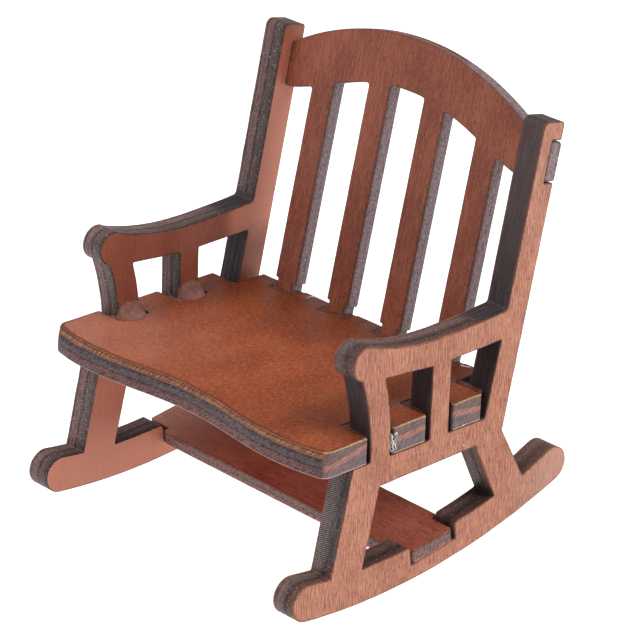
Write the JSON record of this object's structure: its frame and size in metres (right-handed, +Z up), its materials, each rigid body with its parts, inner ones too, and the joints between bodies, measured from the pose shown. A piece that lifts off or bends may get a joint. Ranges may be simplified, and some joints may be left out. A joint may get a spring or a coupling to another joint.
{
  "type": "miniature rocking chair",
  "caption": "Dolls' house rocking chair: flat cut-out sides with arms and curved rockers carry a wavy-fronted seat, a slatted back under an arched crest rail, and a stretcher board.",
  "frame": {"origin": "centre of the bounding box in plan, on the floor under the rockers, with the chair at rest", "axes": "+Z up, the chair faces -Y, +X to the sitter's left; the row is stored at the angle where the chair balances on its rockers"},
  "size_m": [0.0561, 0.0596, 0.0624],
  "materials": {
    "stained_ply_side": "satin, mahogany-stained plywood with charred cut edges",
    "stained_ply_seat": "satin, mahogany-stained plywood with charred cut edges",
    "stained_ply_back": "satin, mahogany-stained thin plywood with charred cut edges",
    "stained_ply_stretcher": "satin, mahogany-stained thin plywood with charred cut edges",
    "dried_glue": "dried wood glue, half clear, dulled"
  },
  "bodies": {
    "root": {"side_panel_right": "stained_ply_side", "side_panel_left": "stained_ply_side", "seat_panel": "stained_ply_seat", "backrest_panel": "stained_ply_back", "stretcher_board": "stained_ply_stretcher", "glue_left_front_post": "dried_glue", "glue_left_middle_post": "dried_glue", "glue_right_posts": "dried_glue", "glue_slat_feet": "dried_glue", "glue_stretcher_right": "dried_glue"}
  },
  "joints": []
}
